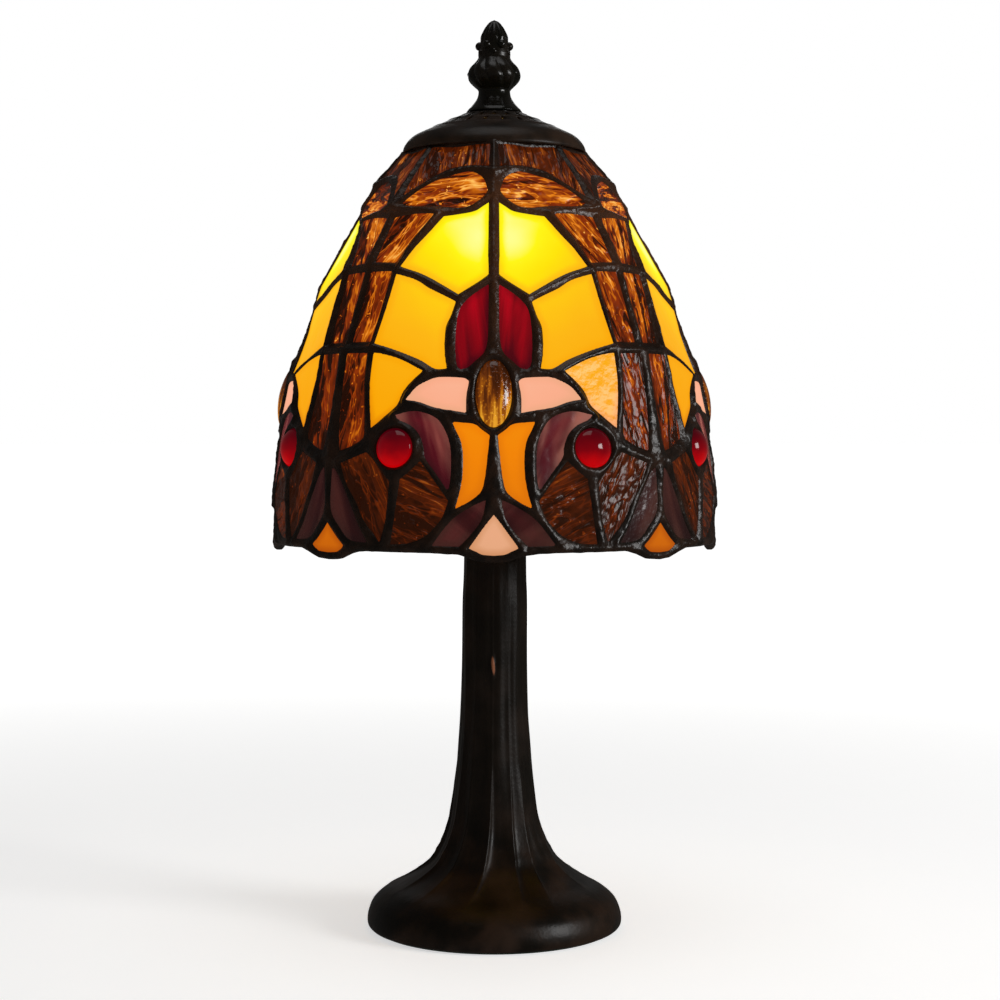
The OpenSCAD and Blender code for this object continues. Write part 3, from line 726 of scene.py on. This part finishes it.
def glass_finish(name, tones, streaks=0.3, streak_scale=18.0, stretch=(1, 1, 1), rough=0.12, relief=0.00008,
                 skin=(14, 10, 6), bloom=1.0, grain=260, gloss=0.3):
    """Lit sheet glass. The light that reaches each point of it is the mesh's glow, varied by streaks along
    the sheet and dimmed where the solder shades its border. Each tone is an amount of light and the screen
    colour that it gives. Unlit, its skin shows: bloom is how much paler that is on the streaks."""
    most = tones[-1][0]
    made = Finish(name, Specular_IOR_Level=gloss, Emission_Strength=1.0)
    sheet = made.uv("sheet")
    streak = made.noise(sheet, streak_scale, 3, 0.6, stretch)
    soft = 0.92 + 0.16 * made.noise(made.place(), 45, 2)
    border = 0.74 + 0.26 * made.attribute("inset")
    amount = made.attribute("glow") * (1 - streaks / 2 + streaks * streak) * soft * border
    surface = made.noise(sheet, grain, 2, 0.3)
    pale = colour(*(c * bloom for c in skin))
    made.feed(
        Base_Color=made.mix(streak.between(0.4, 0.62), colour(*skin), pale),
        Emission_Color=made.ramp(amount / most, *[(light / most, colour(*tone)) for light, *tone in tones]),
        Roughness=rough + 0.10 * surface,
        Normal=made.bump(surface + 2 * made.noise(sheet, 70, 1), relief),
    )
    return made


def bark_glass_finish(name, dim, mid, bright, gain=1.0):
    """Amber glass rolled like bark: thin bright and dark veins run along the sheet where it bends the light,
    over a slow change of tone, with small painted glints."""
    made = Finish(name, Specular_IOR_Level=0.18, Emission_Strength=1.0)
    sheet = made.uv("sheet")
    light = (gain * made.attribute("glow")) ** 0.55 * (0.8 + 0.2 * made.attribute("inset"))
    broad = made.noise(sheet, 36, 2, 1.2, (0.5, 1.4, 1))
    vein = made.noise(sheet, 58, 2, 1.9, (0.34, 1.5, 1))
    fine = made.noise(sheet, 120, 2, 1.7, (0.34, 1.4, 1))
    line = 1 - abs(vein - 0.5).between(0.0, 0.035)
    thread = 1 - abs(fine - 0.5).between(0.0, 0.045)
    painted_glint = made.noise(made.place(), 520, 1).between(0.70, 0.76)
    gap = made.noise(sheet, 74, 2, 2.0, (0.30, 1.5, 1)).between(0.5, 0.58)
    swell = 0.34 * broad.between(0.3, 0.7) + 0.2 * (made.attribute("ripple") - 0.5)
    tone = ((0.22 + swell + 0.34 * line + 0.22 * thread) * (1 - 0.7 * gap) + 0.5 * painted_glint) * light
    tints = [colour(*tint) for tint in (dim, mid, bright, (255, 190, 90))]
    made.feed(
        Base_Color=made.mix(broad, colour(16, 8, 3), colour(26, 14, 6)),
        Emission_Color=made.ramp(tone, *zip((0.10, 0.32, 0.56, 0.86), tints)),
        Roughness=0.10 + 0.15 * broad,
        Normal=made.bump(line * 0.4 + vein + 0.5 * fine, 0.0011),
    )
    return made


yellow = glass_finish("yellow_opal", [
    (0.0, 90, 45, 0), (0.22, 226, 130, 0), (0.32, 250, 165, 2), (0.57, 253, 182, 18), (0.75, 255, 202, 16),
    (0.92, 255, 228, 6), (1.15, 255, 246, 20), (1.5, 255, 255, 150),
], 0.16, 30, (0.6, 1, 1), 0.10, 0.00016, (20, 14, 5), gloss=0.16)
orange = glass_finish("orange_opal", [
    (0.0, 70, 26, 0), (0.12, 176, 78, 0), (0.19, 216, 110, 2), (0.35, 242, 132, 0), (0.7, 252, 165, 8),
], 0.22, 30)
pink = glass_finish("pink_opal", [
    (0.0, 80, 44, 26), (0.16, 204, 138, 92), (0.24, 230, 168, 128), (0.42, 250, 174, 140),
    (0.9, 255, 200, 170),
], 0.2, 30)
red = glass_finish("red_streaky", [
    (0.0, 24, 0, 8), (0.45, 78, 0, 14), (0.66, 132, 0, 16), (0.86, 166, 0, 22), (1.1, 188, 0, 14),
    (1.5, 222, 6, 4),
], 2.0, 110, (0.10, 1, 1), gloss=0.2)
plum = glass_finish("plum_streaky", [
    (0.0, 16, 4, 6), (0.16, 44, 4, 12), (0.3, 78, 6, 20), (0.42, 108, 8, 28), (0.8, 140, 40, 50),
], 1.1, 60, (0.2, 1, 1), 0.20, 0.0003, (16, 11, 9), 9.0, 120, gloss=0.5)
violet = glass_finish("violet_streaky", [
    (0.0, 14, 3, 4), (0.14, 30, 8, 9), (0.24, 50, 12, 14), (0.34, 74, 14, 22), (0.8, 120, 30, 40),
], 1.2, 50, (0.2, 1, 1), 0.16, 0.0003, (14, 9, 7), 4.0, gloss=0.35)
amber = bark_glass_finish("amber_bark", (30, 7, 2), (134, 44, 4), (226, 122, 14))
umber = bark_glass_finish("umber_bark", (34, 9, 2), (98, 34, 4), (176, 92, 22), 0.85)

# Each node's finish, material slot, direction of the rolled grain in degrees, ripple height and mesh spacing
sheets = {
    "glass_top_band": (umber, "amber_rough_glass", 80, 0.00032, 0.0009),
    "glass_leaf": (amber, "amber_rough_glass", -8, 0.00032, 0.0009),
    "glass_column_top": (amber, "amber_rough_glass", 115, 0.00032, 0.0009),
    "glass_column_middle": (amber, "amber_rough_glass", 95, 0.00032, 0.0009),
    "glass_column_low": (amber, "amber_rough_glass", 95, 0.00032, 0.0009),
    "glass_amber_inner": (umber, "amber_rough_glass", 20, 0.00036, 0.0009),
    "glass_amber_outer": (umber, "amber_rough_glass", 60, 0.00036, 0.0009),
    "glass_yellow_top": (yellow, "yellow_glass", 80, 0.00006, 0.0016),
    "glass_yellow_middle": (yellow, "yellow_glass", 70, 0.00010, 0.0016),
    "glass_yellow_low": (yellow, "yellow_glass", 60, 0.00006, 0.0016),
    "glass_vase": (orange, "orange_glass", 85, 0.00006, 0.0016),
    "glass_drop": (orange, "orange_glass", 85, 0.00006, 0.0014),
    "glass_tulip": (red, "red_glass", 82, 0.00008, 0.0014),
    "glass_wing": (pink, "pink_glass", 10, 0.00006, 0.0014),
    "glass_tear": (pink, "pink_glass", 80, 0.00006, 0.0014),
    "glass_plum": (plum, "plum_glass", 70, 0.00014, 0.0012),
    "glass_violet_seam": (violet, "violet_glass", 70, 0.00010, 0.0014),
    "glass_violet_petal": (violet, "violet_glass", 40, 0.00010, 0.0014),
}


def cut_sheet(pane, spacing):
    """The points and triangles of a pane's face: its outline, with a grid inside, joined by Delaunay's
    rule. The outline's points come first, and their number is given too."""
    low, high = pane.outline.min(0), pane.outline.max(0)
    y, x = np.mgrid[low[1] : high[1] : spacing * 0.87, low[0] : high[0] : spacing]
    x = x + (np.arange(len(x)) % 2)[:, None] * spacing / 2
    grid = np.stack([x.ravel(), y.ravel()], 1)
    grid = grid[distance(grid, pane.outline) < -0.55 * spacing]
    flat = np.concatenate([pane.outline, grid])
    n = len(pane.outline)
    ring = [(i, (i + 1) % n) for i in range(n)]
    places, _, triangles, *_ = delaunay_2d_cdt([Vector(p) for p in flat * 1000], ring, [], 1, 1e-6)
    return np.array(places) / 1000, np.array(triangles), n


def rolled(points, height, grain, seed):
    """The ripple of rolled glass: waves stretched along the grain, with their crests sharpened by folding
    them at zero. The points are in the sheet's plane, turned so that the grain is their first axis."""
    a = math.radians(grain)
    along = points @ np.array([[math.cos(a), -math.sin(a)], [math.sin(a), math.cos(a)]])
    long = np.stack([along[:, 0] * 0.3, along[:, 1], 0 * along[:, 0]], 1)
    long[:, 1] += 0.0006 * waves(long * 0.6, 0.004, seed + 3)
    fold = 1 - abs(waves(long, 0.0042, seed)) * 1.1
    swell = 0.6 * fold + 0.3 * waves(long, 0.0026, seed + 1)
    swell += 0.2 * waves(long * (2, 1, 1), 0.0015, seed + 2)
    return height * swell, along, swell


def sheet_normals(points, triangles):
    """Normals of an open sheet: the sum of the cross products of the triangles that meet at each point."""
    a, b, c = (points[triangles[:, i]] for i in range(3))
    normals = np.zeros_like(points)
    np.add.at(normals, triangles, np.cross(b - a, c - a)[:, None])
    return normals / np.linalg.norm(normals, axis=1, keepdims=True)


def copies(count):
    """The copies of a piece round the shade, 8 or 4: for each, a matrix that turns it by quarters, and
    whether it is mirrored. Of 8 copies, every second one is a mirror image."""
    for copy in range(count):
        quarter, flip = (copy // 2, copy % 2) if count == 8 else (copy, 0)
        c, s = ((1, 0), (0, 1), (-1, 0), (0, -1))[quarter]
        yield np.diag((-1, 1, 1) if flip else (1, 1, 1)) @ np.array([[c, s, 0], [-s, c, 0], [0, 0, 1]]), flip


def unwrap(mesh, name, uvs):
    """Gives a mesh a UV map, from one place for each of its points."""
    corners = np.zeros(len(mesh.loops), int)
    mesh.loops.foreach_get("vertex_index", corners)
    mesh.uv_layers.new(name=name).data.foreach_set("uv", np.concatenate(uvs)[corners].ravel())


for node, (finish, slot, grain, ripple_h, spacing) in sheets.items():
    pane = panes[node]
    flat, triangles, n = cut_sheet(pane, spacing)
    inset = np.clip(-distance(flat, pane.outline) / 0.0032 - 0.15, 0, 1)
    middle = pane.raised(flat)
    glow = bulb_glow(middle, np.degrees(np.arctan2(middle[:, 0], -middle[:, 1])))
    m = len(flat)
    i = np.arange(n)
    j = (i + 1) % n
    sides = np.concatenate([np.stack([j, i, i + m], 1), np.stack([j, i + m, j + m], 1)])
    closed = np.concatenate([triangles, triangles[:, ::-1] + m, sides])
    blocks, normals, faces, uvs, insets, ripples = [], [], [], [], [], []
    for copy, (place, flip) in enumerate(copies(4 if node in single else 8)):
        height, along, swell = rolled(flat, ripple_h, grain, 100 + 7 * copy)
        front = pane.raised(flat, glass_t / 2 + height * inset)
        points = np.concatenate([front, pane.raised(flat, -glass_t / 2)])
        slopes = np.concatenate([sheet_normals(front, triangles), np.tile(-pane.out, (m, 1))])
        faces.append((closed[:, ::-1] if flip else closed) + len(points) * copy)
        blocks.append(points @ place)
        normals.append(slopes @ place)
        uvs.append(np.tile(along + (0.31 * copy, 0.17 * copy), (2, 1)))
        insets.append(np.tile(inset, 2))
        ripples.append(np.tile(np.clip(0.5 + 0.5 * swell, 0, 1), 2))
    made = piece(node.replace("glass_", "pane_"), np.concatenate(blocks), np.concatenate(faces),
                 finish, "shade", slot, node, merge=False)
    mesh = made.data
    mesh.normals_split_custom_set_from_vertices(np.concatenate(normals).tolist())
    unwrap(mesh, "sheet", uvs)
    glows = [glow] * (2 * len(blocks))
    for name, values in (("inset", insets), ("ripple", ripples), ("glow", glows)):
        mesh.attributes.new(name, "FLOAT", "POINT").data.foreach_set("value", np.concatenate(values))

# ---------------------------------------------------------------- jewels
# Pressed cabochons with polished domes, red where they are round and amber where they are
# oval. Foil wraps their edge and a heap of solder holds them like a bezel.

ruby = Finish("ruby_jewel", Roughness=0.09, Specular_IOR_Level=0.3, Emission_Strength=1.0)
# The jewels' glow is painted light of the bulb through them, painted lighter towards the dome's lower edge
low_light = 0.50 - 0.42 * ruby.axis(ruby.uv("dome"), "Y")
glow = (low_light + 0.25 * ruby.noise(ruby.place(), 160, 2)).between(0.1, 1.25)
tone = ruby.ramp(glow, (0.0, colour(56, 0, 10)), (0.5, colour(120, 0, 10)), (1.0, colour(204, 0, 4)))
ruby.feed(Base_Color=ruby.scaled(tone, 0.06), Emission_Color=tone)

honey = Finish("amber_jewel", Roughness=0.06, Specular_IOR_Level=0.5, Emission_Strength=1.0)
dome = honey.uv("dome")
lines = honey.noise(dome, 7, 3, 0.4, (1, 0.12, 1)).between(0.35, 0.7)
seeds = honey.noise(honey.place(), 900, 2).between(0.5, 0.75)
# The same painted light, lighter towards the lower edge, over the amber's own streaks and seeds
depth = (0.25 + 0.5 * lines - 0.42 * honey.axis(dome, "Y") + 0.25 * seeds).between(0.0, 1.1)
tone = honey.ramp(depth, (0.0, colour(48, 18, 1)), (0.35, colour(92, 40, 5)), (0.7, colour(156, 84, 10)),
                  (1.0, colour(226, 156, 40)))
honey.feed(Base_Color=honey.scaled(tone, 0.08), Emission_Color=tone, Normal=honey.bump(seeds, 0.0001))

# Each node's finish, material slot, dome height and number
for node, finish, slot, rise, count in (
        ("jewel_round", ruby, "ruby_jewel", 0.0060, 8), ("jewel_oval", honey, "amber_jewel", 0.0052, 4)):
    jewel = jewels[node]
    ring = jewel.outline
    # The dome's height is the root of one minus the square of the share of the way out to its edge
    share = np.sin(np.linspace(np.pi / 2, 0, 22))
    height = rise * np.sqrt(np.clip(1 - share**2, 0, 1)) * 0.92 + rise * 0.08 * (1 - share)
    share = np.concatenate([[0, 1], share])
    height = np.concatenate([[-glass_t / 2] * 2, height])
    flat = share[:, None, None] * ring
    points = jewel.raised(flat, np.broadcast_to(height[:, None], flat.shape[:2])).reshape(-1, 3)
    dome_faces = quads(len(share), len(ring), join_columns=True)
    blocks, faces = [], []
    for copy, (place, flip) in enumerate(copies(count)):
        blocks.append(points @ place)
        faces.append((dome_faces[:, ::-1] if flip else dome_faces) + copy * len(points))
    made = piece(node + "_domes", np.concatenate(blocks), np.concatenate(faces),
                 finish, "shade", slot, node, merge=False)
    unwrap(made.data, "dome", [(flat / abs(ring).max()).reshape(-1, 2)] * count)

# ---------------------------------------------------------------- vent cap
# A spun steel cap, pierced by two rings of slots that let the bulb's heat out, with a
# rounded shoulder. It sits on the crown ring and is painted like the foot.

# Radius and height from the lower edge, over the shoulder and in to the stud's hole
cap_path = [
    (0.0416, shade_top), (0.0419, 0.3576), (0.0407, 0.3603), (0.0376, 0.3635), (0.0327, 0.3660),
    (0.0277, 0.3682), (0.0226, 0.3705), (0.017, 0.3730), (0.012, 0.3744), (0.0036, 0.3744),
]
cap_t = 0.0012
shoulder_z = 0.3600
vents = 20
vent_w = 0.0018
vent_l = 0.0046
# Radius of each ring of slots, and the angle of its first slot
vent_rings = [(0.018, 0.0), (0.0244, 9.0)]
# Raised rings pressed into the metal between them
emboss_h = 0.00035
emboss_w = 0.0006
emboss_rings = (0.0148, 0.0212, 0.0282)

line = spline(cap_path, 0.0004)
bend = np.argmin(abs(line[:, 1] - shoulder_z))
lower, upper = line[:bend], line[bend:]
slot_ends = [r + end * vent_l / 2 for r, _ in vent_rings for end in (-1, 1)]
cap_r = np.unique(np.round(np.concatenate([upper[::2, 0], slot_ends]), 7))[::-1]
cap_z = np.interp(cap_r, upper[::-1, 0], upper[::-1, 1])
cap_line = np.concatenate([lower, np.stack([cap_r, cap_z], 1)])
slant = line_normals(cap_line)
emboss = emboss_h * sum(np.exp(-((cap_line[:, :1] - r) / emboss_w) ** 2) for r in emboss_rings)
period = 360 / vents
half_slots = [math.degrees(vent_w / 2 / r) for r, _ in vent_rings]
steps = [np.linspace(-h, h, 4) + a for h, (_, a) in zip(half_slots, vent_rings)]
steps = np.unique(np.concatenate([*steps, [period / 4, 3 * period / 4]]))
angles = (np.arange(vents)[:, None] * period + steps[None]).ravel()
angles = np.append(angles, angles[0] + 360)
face_line = cap_line + slant * emboss
back_line = cap_line - slant * cap_t
cap_out = around(face_line[:, :1], angles[None], face_line[:, 1:])
cap_in = around(back_line[:, :1], angles[None], back_line[:, 1:])
cell_r = (cap_line[:-1, 0] + cap_line[1:, 0]) / 2
cell_a = (angles[:-1] + angles[1:]) / 2
keep = np.ones((len(cell_r), len(cell_a)), bool)
for (r, a), h in zip(vent_rings, half_slots):
    in_r = abs(cell_r - r) < vent_l / 2
    in_a = abs((cell_a - a + period / 2) % period - period / 2) < h
    keep &= ~(in_r[:, None] & in_a[None])
points, faces, _ = shell(cap_out, cap_in, keep, closed=True)
piece("pierced_cap", points, faces, bronze, "shade", "bronze_cap", "vent_cap")

# ---------------------------------------------------------------- finial
# Cast, with a flared foot, a gadrooned bulb and a ribbed bud among knobs and beads. It is
# screwed down on the stud, and its paint and the washer's are glossier than the cap's.

gloss = Finish("glossy_bronze_paint", Metallic=0.0, Specular_IOR_Level=0.30)
at = gloss.place()
brown = gloss.noise(at, 90, 3).between(0.35, 0.7)
gloss.feed(Base_Color=gloss.mix(brown, colour(9, 8, 4), colour(20, 15, 9)), Roughness=0.16 + 0.12 * brown,
           Normal=gloss.bump(gloss.noise(at, 500, 2), 0.0001))
finial_low, finial_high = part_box("finial")
# Radius and height from the bore, over the foot and the bulb, to the bud's tip
finial_path = [
    (0.0050, finial_low.z), (0.0122, finial_low.z), (0.0125, 0.3758), (0.0121, 0.3764), (0.0118, 0.3768),
    (0.0110, 0.3776), (0.0092, 0.3797), (0.0078, 0.3820), (0.0073, 0.3843), (0.0076, 0.3856),
    (0.0092, 0.3872), (0.0110, 0.3892), (0.0119, 0.3912), (0.0117, 0.3935), (0.0106, 0.3958),
    (0.0086, 0.3981), (0.0074, 0.4000), (0.0074, 0.4020), (0.0069, 0.4048), (0.0064, 0.4074),
    (0.0061, 0.4097), (0.0051, 0.4120), (0.0038, 0.4143), (0.0022, 0.4164), (0.0, finial_high.z),
]
bore_r, bore_top = 0.005, 0.385
turned = spline(finial_path, 0.00022)
turned[:, 0] = np.maximum(turned[:, 0], 0)
angles = np.arange(0, 360, 1.6)
r, height = turned[:, :1], turned[:, 1:]
a = np.radians(angles)[None]


def band(low, high, fade=0.0012):
    """1 between two heights, fading to 0 beyond them."""
    return np.clip((height - low) / fade + 0.5, 0, 1) * np.clip((high - height) / fade + 0.5, 0, 1)


# Lobes that twist round the bulb, ribs up the bud, and a row of small drops round the bulb's middle
gadroon = 0.0011 * band(0.3880, 0.3980, 0.005) * (abs(np.cos(5 * a + 150 * (height - 0.392))) ** 0.7 - 0.6)
ribs = 0.0008 * band(0.4078, 0.4150, 0.003) * (abs(np.cos(5 * a)) ** 0.6 - 0.6)
drops = 0.0008 * np.exp(-((height - 0.3925) / 0.0013) ** 2) * np.clip(np.cos(5 * a + 1.5), 0, 1) ** 8
carved = r + np.where(r > 0.0004, gadroon + ribs + drops, 0) * np.clip(r / 0.003, 0, 1)
bore = np.broadcast_to([[0.0], [bore_r]], (2, len(angles)))
section_r = np.concatenate([bore, carved])
section_z = np.concatenate([np.full((2, 1), bore_top), height])
points = around(section_r, angles[None], section_z).reshape(-1, 3)
faces = quads(len(section_r), len(angles), join_columns=True)
# Six knobs stand round the bud, with a small bead under each gap: angle, reach, height, radius of a ball
balls = [(30 + 60 * i, 0.0067, 0.4054, 0.0020) for i in range(6)]
balls += [(60 * i, 0.0070, 0.4022, 0.0013) for i in range(6)]
tilt = np.radians(np.linspace(-90, 90, 13))[:, None]
unit = around(np.cos(tilt), np.arange(0, 360, 18)[None] + 90, np.sin(tilt))
for angle, out_by, z, radius in balls:
    faces = np.concatenate([faces, quads(*unit.shape[:2], join_columns=True) + len(points)])
    points = np.concatenate([points, (around(out_by, angle, z) + radius * unit).reshape(-1, 3)])
piece("cast_finial", points, faces, gloss, "finial", "bronze_casting", "finial")
dress(gloss, "finial_washer")

# ---------------------------------------------------------------- floor, light and camera
# A pale floor runs out to a white backdrop. A low softbox stands to the camera's right, one behind the
# lamp and one above it. The floor isn't seen in reflections, which leaves the dark paint dark.

pale = Finish("pale_floor", Roughness=0.8, Specular_IOR_Level=0.0, Emission_Strength=1.0)
paper = pale.noise(pale.place(), 30, 2)
away = pale.node("ShaderNodeVectorMath", {"operation": "LENGTH"}, {0: pale.place()}, "Value")
pale.feed(Base_Color=pale.mix(paper, colour(236, 236, 235), colour(240, 240, 239)),
          Emission_Color=pale.mix(away.between(0.25, 1.6), (0.60, 0.60, 0.60), (1.0, 1.0, 1.0)))
floor_far = np.linspace(-6, 40, 24)[:, None]
floor_points = np.stack(np.broadcast_arrays(np.linspace(-20, 20, 24)[None], floor_far, 0.0), -1)
floor = place_object("floor", smooth_mesh("floor", floor_points, quads(24, 24), pale))
floor.visible_glossy = False

world = bpy.data.worlds.new("studio")
scene.world = world
world.use_nodes = True
sky = world.node_tree
seen = sky.nodes.new("ShaderNodeLightPath").outputs["Is Camera Ray"]
backdrop = sky.nodes.new("ShaderNodeBackground")
backdrop.inputs["Color"].default_value = (1, 1, 1, 1)
fill = sky.nodes["Background"]
# Camera rays see the white backdrop, and all others a dim fill
fill.inputs["Color"].default_value = (1.0, 0.985, 0.96, 1)
fill.inputs["Strength"].default_value = 0.07
either = sky.nodes.new("ShaderNodeMixShader")
sky.links.new(seen, either.inputs[0])
sky.links.new(fill.outputs[0], either.inputs[1])
sky.links.new(backdrop.outputs[0], either.inputs[2])
sky.links.new(either.outputs[0], sky.nodes["World Output"].inputs[0])
scene.view_settings.view_transform = "Standard"


def softbox(name, azimuth, elevation, away, width, height, power):
    """An area light that faces the lamp from an azimuth, an elevation and a distance."""
    data = bpy.data.lights.new(name, "AREA")
    data.shape = "RECTANGLE"
    data.size = width
    data.size_y = height
    data.energy = power
    made = place_object(name, data)
    a, e = math.radians(azimuth), math.radians(elevation)
    back = Vector((math.sin(a) * math.cos(e), -math.cos(a) * math.cos(e), math.sin(e)))
    made.location = Vector((0, 0, 0.22)) + back * away
    made.rotation_euler = back.to_track_quat("Z", "Y").to_euler()


softbox("key", 63, 13, 1.5, 0.55, 0.50, 12)
softbox("back", 180, 19, 2.2, 1.0, 0.6, 3)
softbox("top", 0, 86, 1.6, 1.0, 1.0, 4)

camera = place_object("camera", bpy.data.cameras.new("camera"))
camera.data.lens = 75.8
camera.data.sensor_width = 36.0
camera.location = (0.0026, -0.971, 0.2284)
look_down = 1.82
camera.rotation_euler = (math.radians(90 - look_down), 0, 0)
scene.camera = camera
